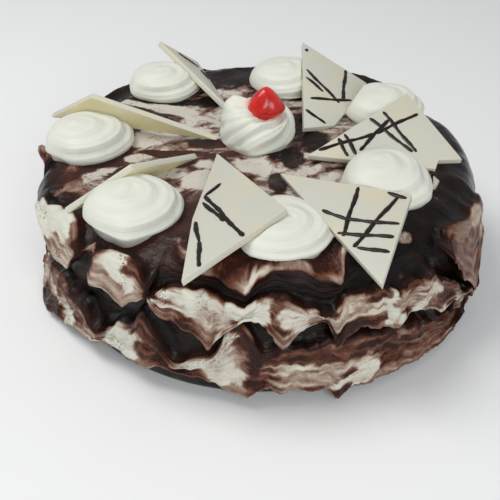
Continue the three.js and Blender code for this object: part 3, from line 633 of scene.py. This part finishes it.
# Corners are [x, y, height of the upper face above the cake's top]; low corners and drizzle are in
# the shard's own plane, [along the low side, up towards the peak] from the inner corner.
SHARDS = [
    {"inner": [-15.8, 34.5, 1.5], "peak": [-56.1, 84.1, 18], "outer": [-35.5, 92.3, 1.5],
     "drizzle": [[36, 1.2, 46, 3], [50, 3, 56, 16]]},
    {"inner": [-20.6, 3.9, 2], "peak": [-82.1, 11.1, 22], "outer": [-107.4, 24.2, 4]},
    {"inner": [-31.4, -11.8, 1.5], "peak": [-57.1, -46.9, 17], "outer": [-86.4, -57.6, 1]},
    {"inner": [-20.5, -15.3, 3.6], "peak": [10.7, -73.9, 12], "outer": [-31.1, -109.4, 3.2],
     "low": [[53, -3]],
     "drizzle": [[28, 6, 37, 0], [37, 0, 72, 23], [42, 0, 58, 12], [56, -1, 70, 3], [70, 3, 87, 6]]},
    {"inner": [9.2, -34.6, 4.5], "peak": [64.3, -62.9, 12], "outer": [46, -110.9, 2.5],
     "drizzle": [[30, 24, 53, 2], [47, 33, 61, 2], [42, 31, 50, 35], [34, 3, 45, 8], [45, 8, 61, 24],
                 [50, 1, 66, 18], [62, 3, 72, 12]]},
    {"inner": [23.2, -17.2, 3.6], "peak": [76.3, 26.1, 14.5], "outer": [96.4, -20.5, 3.4],
     "low": [[60, -7], [62, -1]],
     "drizzle": [[31, 27, 50, 4], [38, 32, 52, 4], [55, 31, 33, 16], [33, 16, 4, 3], [40, 26, 25, 4],
                 [15, 12, 19, 0], [18, 15, 23, 1]]},
    {"inner": [22.8, 9.4, 3.4], "peak": [25.7, 83.9, 17.5], "outer": [60.9, 60.4, 3.4],
     "low": [[16, -9], [34, -6]],
     "drizzle": [[42, 28, 34, 0], [36, 24, 34, 11], [62, 14, 38, 0], [23, 12, 42, -3], [13, 8, 13, -5],
                 [56, 38, 58, 39]]},
]


def shard_frame(shard):
    """The shard's own frame: origin, three axes as rows, its length and its peak in the plane."""
    inner, peak, outer = (np.array([*shard[key][:2], CAKE_HEIGHT + shard[key][2]])
                          for key in ("inner", "peak", "outer"))
    along = outer - inner
    length = np.linalg.norm(along)
    along /= length
    face = np.cross(along, peak - inner)
    face /= np.linalg.norm(face)
    up = np.cross(face, along)
    return inner, np.array([along, up, face]), length, [(peak - inner) @ along, (peak - inner) @ up]


def shard_outline(shard):
    """The corners of the shard in its own plane, in their order round it."""
    _, _, length, peak = shard_frame(shard)
    return [[0, 0], *shard.get("low", []), [length, 0], peak]


# Tempered white chocolate: ivory, with clouds about 15 mm across where the cocoa butter set unevenly,
# and smooth enough for a low gloss.
white_chocolate = new_material("tempered_white_chocolate")
slab_place = add_node(white_chocolate, "ShaderNodeTexCoord").outputs["Object"]
slab_cloud = add_node(white_chocolate, "ShaderNodeTexNoise", {"Scale": 60, "Detail": 3, "Roughness": 0.5},
                      {"Vector": slab_place}).outputs["Fac"]
slab_tone = add_node(white_chocolate, "ShaderNodeValToRGB",
                     {"stops": [(0.42, "#cdccc0"), (0.72, "#d5cdb4")]},
                     {"Fac": slab_cloud}).outputs["Color"]
slab_grain = add_node(white_chocolate, "ShaderNodeTexNoise", {"Scale": 700, "Detail": 3},
                      {"Vector": slab_place}).outputs["Fac"]
slab_bump = add_node(white_chocolate, "ShaderNodeBump", {"Strength": 0.12, "Distance": 0.0003},
                     {"Height": slab_grain}).outputs["Normal"]
slab_surface = add_node(white_chocolate, "ShaderNodeBsdfPrincipled",
                        {"Roughness": 0.36, "IOR": 1.46, "Subsurface Weight": 0.25,
                         "Subsurface Radius": (0.004, 0.0032, 0.0016), "Subsurface Scale": 0.5},
                        {"Base Color": slab_tone, "Normal": slab_bump}).outputs[0]
add_node(white_chocolate, "ShaderNodeOutputMaterial", links={"Surface": slab_surface})

# The underside lay on paper while it set, so it is matt.
# Its colour is painted yellower than the upper face's: painted shade, and a painted glow of light through the
# slab.
shaded_slab_underside = new_material("white_chocolate_underside_painted_shade")
back_place = add_node(shaded_slab_underside, "ShaderNodeTexCoord").outputs["Object"]
back_cloud = add_node(shaded_slab_underside, "ShaderNodeTexNoise", {"Scale": 45, "Detail": 3, "Roughness": 0.5},
                      {"Vector": back_place}).outputs["Fac"]
underside_painted_shade_tone = add_node(shaded_slab_underside, "ShaderNodeValToRGB", {"stops": [(0.35, "#d6cd9f"), (0.7, "#e2dcbc")]},
                     {"Fac": back_cloud}).outputs["Color"]
back_surface = add_node(shaded_slab_underside, "ShaderNodeBsdfPrincipled",
                        {"Roughness": 0.55, "IOR": 1.46, "Subsurface Weight": 0.3,
                         "Subsurface Radius": (0.004, 0.0034, 0.0014), "Subsurface Scale": 0.5},
                        {"Base Color": underside_painted_shade_tone}).outputs[0]
add_node(shaded_slab_underside, "ShaderNodeOutputMaterial", links={"Surface": back_surface})

# The drizzle set in the air: nearly black, with a soft shine.
dark_drizzle = new_material("dark_chocolate_drizzle")
drizzle_place = add_node(dark_drizzle, "ShaderNodeTexCoord").outputs["Object"]
drizzle_cloud = add_node(dark_drizzle, "ShaderNodeTexNoise", {"Scale": 180, "Detail": 2},
                         {"Vector": drizzle_place}).outputs["Fac"]
drizzle_tone = add_node(dark_drizzle, "ShaderNodeValToRGB",
                        {"stops": [(0.35, "#1a120d"), (0.65, "#2a1c14")]},
                        {"Fac": drizzle_cloud}).outputs["Color"]
drizzle_surface = add_node(dark_drizzle, "ShaderNodeBsdfPrincipled",
                           {"Roughness": 0.36, "IOR": 1.46, "Specular IOR Level": 0.3},
                           {"Base Color": drizzle_tone}).outputs[0]
add_node(dark_drizzle, "ShaderNodeOutputMaterial", links={"Surface": drizzle_surface})


def place_in_frame(piece, shard):
    """Moves a piece's mesh from the shard's own plane, in mm, to the cake, in metres."""
    origin, axes, _, _ = shard_frame(shard)
    count = len(piece.data.vertices)
    flat = np.empty(count * 3)
    piece.data.vertices.foreach_get("co", flat)
    placed = (origin + flat.reshape(-1, 3) @ axes) / 1000
    piece.data.vertices.foreach_set("co", placed.ravel())
    piece.data.update()


def kept_on_plate(line, corners):
    """A drizzle line cut to where it stays clear of the shard's edges."""
    start, end = np.array(line[:2], float), np.array(line[2:], float)
    kept = [t for t in np.linspace(0, 1, 101) if min(
        ((u1 - u0) * (point[1] - v0) - (v1 - v0) * (point[0] - u0)) / math.hypot(u1 - u0, v1 - v0)
        for point in [start + t * (end - start)]
        for (u0, v0), (u1, v1) in zip(corners, [*corners[1:], corners[0]])) > DRIZZLE_INSET]
    return [*(start + kept[0] * (end - start)), *(start + kept[-1] * (end - start))]


for number, shard in enumerate(SHARDS, 1):
    corners = shard_outline(shard)
    rng = np.random.default_rng(100 + number)
    bpy.ops.object.select_all(action="DESELECT")
    bpy.ops.mesh.primitive_circle_add(vertices=len(corners), radius=10, fill_type="NGON")
    plate = bpy.context.object
    plate.name = f"white_chocolate_shard_{number}"
    for vertex, (u, v) in zip(plate.data.vertices, corners):
        vertex.co = (u, v, 0)
    bpy.ops.object.mode_set(mode="EDIT")
    bpy.ops.mesh.select_all(action="SELECT")
    bpy.ops.mesh.extrude_region_move(TRANSFORM_OT_translate={"value": (0, 0, -SHARD_THICKNESS)})
    bpy.ops.mesh.select_all(action="SELECT")
    bpy.ops.mesh.normals_make_consistent(inside=False)
    bpy.ops.mesh.bevel(offset=0.35, segments=2, affect="EDGES")
    bpy.ops.object.mode_set(mode="OBJECT")
    for finish in (white_chocolate, dark_drizzle, shaded_slab_underside):
        plate.data.materials.append(finish)
    # Faces turned down take the underside finish, painted yellower as shade and glow.
    for face in plate.data.polygons:
        face.material_index = 2 if face.normal.z < -0.9 else 0

    scale = shard_frame(shard)[2] / 75
    lines = shard.get("drizzle") or [[value * scale for value in line] for line in SHARD_PATTERN]
    ribs = []
    for line in lines:
        u0, v0, u1, v1 = kept_on_plate(line, corners)
        run = math.hypot(u1 - u0, v1 - v0)
        steps = max(4, int(run / 1.5))
        bpy.ops.object.select_all(action="DESELECT")
        bpy.ops.mesh.primitive_cylinder_add(vertices=10, radius=1, depth=1, end_fill_type="TRIFAN")
        rib = bpy.context.object
        bpy.ops.object.mode_set(mode="EDIT")
        for cut in range(1, steps):
            bpy.ops.mesh.select_all(action="SELECT")
            bpy.ops.mesh.bisect(plane_co=(0, 0, cut / steps - 0.5), plane_no=(0, 0, 1))
        bpy.ops.object.mode_set(mode="OBJECT")
        co = np.empty(len(rib.data.vertices) * 3)
        rib.data.vertices.foreach_get("co", co)
        co = co.reshape(-1, 3)
        t = co[:, 2] + 0.5
        phase = rng.uniform(0, 6.28, 3)
        width = 1.0 + 0.16 * np.sin(t * run * 0.5 + phase[0]) + 0.1 * np.sin(t * run * 1.3 + phase[1])
        width *= 0.55 + 0.45 * np.sqrt(np.clip(np.minimum(t, 1 - t) * run / 1.2, 0, 1))
        sway = 0.35 * np.sin(t * run * 0.22 + phase[2]) * np.sin(np.pi * t)
        ahead = np.array([u1 - u0, v1 - v0]) / run
        side = np.array([-ahead[1], ahead[0]])
        across = co[:, 0] * width + sway
        centre_line = np.array([u0, v0]) + np.outer(t * run, ahead)
        flat = centre_line + np.outer(across, side)
        thick = np.where(co[:, 1] > 0, co[:, 1] * 0.62 * np.clip(width, 0.4, 1), co[:, 1] * 0.4)
        rib.data.vertices.foreach_set("co", np.column_stack([flat, thick]).ravel())
        for finish in (white_chocolate, dark_drizzle, shaded_slab_underside):
            rib.data.materials.append(finish)
        for face in rib.data.polygons:
            face.material_index = 1
        ribs.append(rib)
    bpy.ops.object.select_all(action="DESELECT")
    for rib in ribs:
        rib.select_set(True)
    plate.select_set(True)
    bpy.context.view_layer.objects.active = plate
    bpy.ops.object.join()
    place_in_frame(plate, shard)
    bpy.ops.object.mode_set(mode="EDIT")
    bpy.ops.mesh.select_all(action="SELECT")
    bpy.ops.mesh.normals_make_consistent(inside=False)
    bpy.ops.object.mode_set(mode="OBJECT")
    bpy.ops.object.shade_smooth_by_angle(angle=math.radians(40))
    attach(plate, "root")
    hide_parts(f"shard_{number}")

# ---------- Piped rosettes ----------
# Whipped cream piped through a wide open star nozzle: a coil that winds inwards over a low dome and
# ends in a small nub. The shards are pressed into them.

# Corners are where the cream was drawn out as the nozzle moved on: [angle, mm, share of the climb].
ROSETTE_RING = [
    {"at": [-52.5, 62.7], "radius": 19.7, "height": 12.2, "start": 40, "nub": [-2, -3],
     "corners": [[215, 1.6, 0], [300, 1, 0]]},
    {"at": [-83.5, -0.2], "radius": 20.3, "height": 13.8, "start": 320, "nub": [-6, -3],
     "corners": [[203, 2.4, 0], [256, 1.4, 0], [350, 1, 0]]},
    {"at": [-54.9, -58.5], "radius": 20.8, "height": 12.6, "start": 250, "nub": [-4, 2],
     "corners": [[192, 1.4, 0], [266, 2.4, 0]]},
    {"at": [9.4, -72.7], "radius": 21.2, "height": 8.8, "start": 300, "nub": [0, 0],
     "corners": [[230, 1.6, 0], [310, 1, 0]]},
    {"at": [57.5, -40.2], "radius": 20.2, "height": 14.8, "start": 20, "nub": [-4, 3],
     "corners": [[328, 1.4, 0], [30, 1, 0]]},
    {"at": [66.6, 31.9], "radius": 20.5, "height": 13, "start": 90, "nub": [0, 2],
     "corners": [[150, 1.4, 0], [60, 1.2, 0]]},
    {"at": [15.9, 67.5], "radius": 20.5, "height": 12.6, "start": 130, "nub": [0, -2],
     "corners": [[120, 1.4, 0], [20, 1, 0]]},
]
CENTRE_ROSETTE = {"at": [-0.5, 5.9], "radius": 17.7, "height": 18.2, "start": 200, "nub": [1, 0],
                  "corners": [[160, 4, 0.7], [205, 1.6, 0], [262, 1.4, 0]]}
CHERRY_AT = np.array([3, 5, 86.4])
CHERRY_RADIUS = 9.8
CHERRY_HALF_HEIGHT = 8.2
ROSETTE_SKIRT = 7
SWIRL_STEPS = 144
SWIRL_LEVELS = 64
# How the ring's swirls and the middle one are piped. A star nozzle leaves one winding coil in the
# ring, and steep folds where it was lifted fast over the middle.
RING_PIPING = {"starts": 1, "turns": 2.7, "ridge": 1.3, "sag": 0.07, "flutes": 11, "flute_depth": 0.25,
               "fullness": 0.8, "left_fullness": 0.74, "left_creases": 0.12}
CENTRE_PIPING = {"starts": 8, "turns": 2.8, "ridge": 2, "sag": 0.34, "flutes": 5, "flute_depth": 1,
                 "fullness": 0.6, "left_fullness": 0.3, "left_creases": 0.3}

# Cold whipped cream: soft and matt, with pits 2 mm apart, lit from within, and pink where syrup ran.
whipped_cream = new_material("piped_whipped_cream")
cream_place = add_node(whipped_cream, "ShaderNodeTexCoord").outputs["Object"]
foam = add_node(whipped_cream, "ShaderNodeTexNoise", {"Scale": 420, "Detail": 4, "Roughness": 0.55},
                {"Vector": cream_place}).outputs["Fac"]
cream_bump = add_node(whipped_cream, "ShaderNodeBump", {"Strength": 0.18, "Distance": 0.0005},
                      {"Height": foam}).outputs["Normal"]
from_cherry = add_node(whipped_cream, "ShaderNodeVectorMath",
                       {"operation": "DISTANCE", 1: tuple(CHERRY_AT / 1000)},
                       {0: cream_place}).outputs["Value"]
syrup = add_node(whipped_cream, "ShaderNodeMapRange",
                 {"From Min": 0.0107, "From Max": 0.0093, "To Max": 0.6},
                 {"Value": from_cherry}).outputs[0]
cream_tone = add_node(whipped_cream, "ShaderNodeMix",
                      {"data_type": "RGBA", 6: colour("#dfe0d4"), 7: colour("#f0a9a0")},
                      {0: syrup}).outputs[2]
cream_surface = add_node(whipped_cream, "ShaderNodeBsdfPrincipled",
                         {"Roughness": 0.5, "IOR": 1.4, "Subsurface Weight": 0.35,
                          "Subsurface Radius": (0.004, 0.0036, 0.003), "Subsurface Scale": 0.6},
                         {"Base Color": cream_tone, "Normal": cream_bump}).outputs[0]
add_node(whipped_cream, "ShaderNodeOutputMaterial", links={"Surface": cream_surface})


def pipe_rosette(name, node, swirl, piping):
    """One swirl as a closed surface: rings climb from the skirt to the nub over the coil's turns."""
    around = np.arange(SWIRL_STEPS + 1) / SWIRL_STEPS
    climb = np.concatenate([[-0.002, 0, 0], np.linspace(0, 1, SWIRL_LEVELS)])
    grow = np.concatenate([[0.02, 0.86, 0.92], np.ones(SWIRL_LEVELS)])
    sink = np.concatenate([[-ROSETTE_SKIRT, -ROSETTE_SKIRT, -0.5], np.zeros(SWIRL_LEVELS)])
    climb, grow, sink = climb[:, None], grow[:, None], sink[:, None]
    above, phi = np.maximum(climb, 0), 2 * math.pi * around[None, :]
    tilt = np.clip(mix(0.06, math.pi / 2, climb), 0, math.pi / 2)
    leftward = smooth_step(-0.1, 0.9, -np.cos(phi))
    fullness = mix(piping["fullness"], piping["left_fullness"], leftward)
    out = swirl["radius"] * np.maximum(np.cos(tilt), 1e-9) ** fullness * grow
    rise = swirl["height"] * np.sin(tilt) ** 0.9
    rng = np.random.default_rng(int(swirl["start"]) + 7)
    wander = sum(piping["sag"] / k * np.cos(k * phi + rng.uniform(0, 6.28)) for k in (1, 2, 3))
    phase = piping["starts"] * around[None, :] - above * piping["turns"] + swirl["start"] / 360 + wander
    bead = np.sin(math.pi * np.mod(phase, 1) ** 1.4) ** 0.75
    fade = smooth_step(-0.01, 0.06, climb) * smooth_step(1.0, 0.88, climb)
    # The lower coils sag together on the left, so their creases show best on the right.
    creased = mix(piping["left_creases"], 1, smooth_step(-0.7, 0.7, np.cos(phi + 0.35)))
    swell = fade * creased * piping["ridge"] * (bead - 0.62 + 0.1 * np.cos(6 * math.pi * phase))
    flute = np.abs(np.sin(math.pi * (piping["flutes"] * around[None, :] - 1.5 * above + 2 * wander))) ** 0.8
    uneven = (0.65 + 0.35 * np.cos(2 * phi + 0.8)) * smooth_step(0.75, 0.3, climb)
    swell = swell + fade * piping["flute_depth"] * (flute - 0.6) * uneven
    for _ in range(8):
        k = rng.integers(2, 5)
        lump = np.cos(k * phi + rng.uniform(0, 6.28) + rng.uniform(-5, 5) * climb)
        swell = swell + 0.2 * lump * (1 - above ** 2) * (sink == 0)
    for corner, drawn, level in swirl["corners"]:
        off = (np.mod(phi - math.radians(corner) + math.pi, 2 * math.pi) - math.pi) / 0.3
        swell = swell + drawn * np.exp(-off ** 2 - ((above - level) / 0.4) ** 2) * (grow > 0.5)
    out = out + swell * np.cos(tilt) * (grow > 0.5)
    rise = rise + swell * np.sin(tilt) * 0.9 + 0.7 * np.exp(-(out / 2.6) ** 2) * (climb > 0.5)
    lean = above ** 1.6
    px = swirl["at"][0] + out * np.cos(phi) + swirl["nub"][0] * lean
    py = swirl["at"][1] + out * np.sin(phi) + swirl["nub"][1] * lean
    # The cherry has pressed the cream down, most in front of it and on its right.
    from_x, from_y = px - CHERRY_AT[0], py - CHERRY_AT[1]
    seat = smooth_step(13.5, 8, np.hypot(from_x, from_y)) * smooth_step(-7, 7, from_x - from_y)
    pz = CAKE_HEIGHT + (rise - 3 * seat) * (sink == 0) + sink
    surface = np.stack([px, py, pz + 0 * px], -1)
    surface[0, :, :] = [*swirl["at"], CAKE_HEIGHT - ROSETTE_SKIRT]
    surface[-1, :, :] = surface[-1].mean(axis=0)

    # A shard presses the cream that was in its place down to its underside.
    for shard in SHARDS:
        origin, axes, _, _ = shard_frame(shard)
        local = (surface - origin) @ axes.T
        corners = np.array(shard_outline(shard))
        inside = np.full(local.shape[:2], 1e9)
        for (u0, v0), (u1, v1) in zip(corners, np.roll(corners, -1, axis=0)):
            edge_way = np.array([u1 - u0, v1 - v0]) / math.hypot(u1 - u0, v1 - v0)
            within = edge_way[0] * (local[..., 1] - v0) - edge_way[1] * (local[..., 0] - u0)
            inside = np.minimum(inside, within)
        pressed = smooth_step(-0.9, 0.3, inside) * (local[..., 2] < 16)
        over = np.maximum(local[..., 2] + SHARD_THICKNESS + 0.1, 0)
        surface = surface - (over * pressed)[..., None] * axes[2]

    bpy.ops.object.select_all(action="DESELECT")
    bpy.ops.mesh.primitive_grid_add(x_subdivisions=SWIRL_STEPS, y_subdivisions=len(climb) - 1, size=0.04)
    piece = bpy.context.object
    piece.name = name
    low, high = (np.array(corner) * 1000 for corner in cad_box)
    surface = np.clip(surface, low + BOX_MARGIN, high - BOX_MARGIN)
    piece.data.vertices.foreach_set("co", (surface.reshape(-1, 3) / 1000).ravel())
    close_mesh(piece)
    piece.data.materials.append(whipped_cream)
    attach(piece, "root")
    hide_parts(node)


for number, swirl in enumerate(ROSETTE_RING, 1):
    pipe_rosette(f"piped_rosette_{number}", f"rosette_{number}", swirl, RING_PIPING)
pipe_rosette("piped_rosette_middle", "rosette_centre", CENTRE_ROSETTE, CENTRE_PIPING)

# ---------- Glace cherry ----------
# A whole candied cherry, wet with syrup, pressed into the middle rosette. Its skin has sunk a little
# in sugar, so it is lumpy, with a low point on top.

bpy.ops.object.select_all(action="DESELECT")
bpy.ops.mesh.primitive_uv_sphere_add(segments=64, ring_count=40, radius=1, location=(0, 0, 0))
cherry = bpy.context.object
cherry.name = "glace_cherry"
skin = np.empty(len(cherry.data.vertices) * 3)
cherry.data.vertices.foreach_get("co", skin)
skin = skin.reshape(-1, 3)
bearing = np.arctan2(skin[:, 1], skin[:, 0])
waist = np.sqrt(np.maximum(1 - skin[:, 2] ** 2, 0))
taper = 0.95 - 0.28 * skin[:, 2]
dents = 1 + 0.05 * np.cos(3 * bearing + 1.2 + 1.5 * skin[:, 2]) + 0.025 * np.cos(7 * bearing - 3 * skin[:, 2])
flare = 1 + 0.1 * np.abs(np.cos(bearing + 0.25)) ** 6 * np.exp(-((skin[:, 2] + 0.3) / 0.3) ** 2)
skin[:, :2] *= (taper * flare * mix(1, dents, waist))[:, None]
skin[:, 2] *= 1 - 0.06 * waist * (1 + np.cos(2 * bearing + 0.6))
reached = np.abs(skin[:, :2]).max()
skin[:, :2] *= min(1, 1 / reached)
skin = skin * [CHERRY_RADIUS, CHERRY_RADIUS, CHERRY_HALF_HEIGHT] * 0.995 + CHERRY_AT
cherry.data.vertices.foreach_set("co", (skin / 1000).ravel())
bpy.ops.object.shade_smooth()

# Sugared skin under a film of syrup: a deep red that light enters, with wet highlights and dimples
# about 6 mm apart.
candied_skin = new_material("candied_cherry_skin")
cherry_place = add_node(candied_skin, "ShaderNodeTexCoord").outputs["Object"]
dimples = add_node(candied_skin, "ShaderNodeTexNoise", {"Scale": 160, "Detail": 3},
                   {"Vector": cherry_place}).outputs["Fac"]
cherry_tone = add_node(candied_skin, "ShaderNodeValToRGB",
                       {"stops": [(0.3, "#b80c0c"), (0.7, "#e02a1c")]}, {"Fac": dimples}).outputs["Color"]
cherry_bump = add_node(candied_skin, "ShaderNodeBump", {"Strength": 0.4, "Distance": 0.0008},
                       {"Height": dimples}).outputs["Normal"]
cherry_surface = add_node(candied_skin, "ShaderNodeBsdfPrincipled",
                          {"Roughness": 0.24, "IOR": 1.47, "Subsurface Weight": 0.3,
                           "Subsurface Radius": (0.004, 0.001, 0.0006), "Subsurface Scale": 0.5,
                           "Coat Weight": 0.25, "Coat Roughness": 0.12},
                          {"Base Color": cherry_tone, "Normal": cherry_bump}).outputs[0]
add_node(candied_skin, "ShaderNodeOutputMaterial", links={"Surface": cherry_surface})
cherry.data.materials.append(candied_skin)
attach(cherry, "root")
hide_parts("cherry")

# ---------- Floor and light ----------
# A plain pale floor in a studio: a white surround, one large soft light from above and the left, and
# a weaker one from the right.

bpy.ops.object.select_all(action="DESELECT")
bpy.ops.mesh.primitive_plane_add(size=8, location=(0, 0, -0.0002))
floor = bpy.context.object
floor.name = "studio_floor"
pale = new_material("pale_studio_floor")
floor_surface = add_node(pale, "ShaderNodeBsdfPrincipled",
                         {"Base Color": colour("#f4f4f4"), "Roughness": 0.8}).outputs[0]
add_node(pale, "ShaderNodeOutputMaterial", links={"Surface": floor_surface})
floor.data.materials.append(pale)

surround = bpy.data.worlds.new("studio_surround")
surround.use_nodes = True
surround.node_tree.nodes["Background"].inputs["Color"].default_value = (0.95, 0.98, 1.0, 1)
surround.node_tree.nodes["Background"].inputs["Strength"].default_value = 0.39
bpy.context.scene.world = surround
bpy.context.scene.view_settings.view_transform = "Standard"

for name, place_at, size, power, tint in (
    ("key_light", (-0.45, 0.05, 0.9), 0.5, 4.6, (1, 0.99, 0.97)),
    ("fill_light", (0.25, -0.95, 0.62), 0.7, 5.0, (0.98, 0.99, 1)),
):
    bpy.ops.object.light_add(type="AREA", location=place_at)
    lamp = bpy.context.object
    lamp.name = name
    lamp.data.shape = "DISK"
    lamp.data.size = size
    lamp.data.energy = power
    lamp.data.color = tint
    aim = -np.array(place_at) / np.linalg.norm(place_at)
    lamp.rotation_euler = (math.acos(-aim[2]), 0, math.atan2(aim[1], aim[0]) - math.pi / 2)
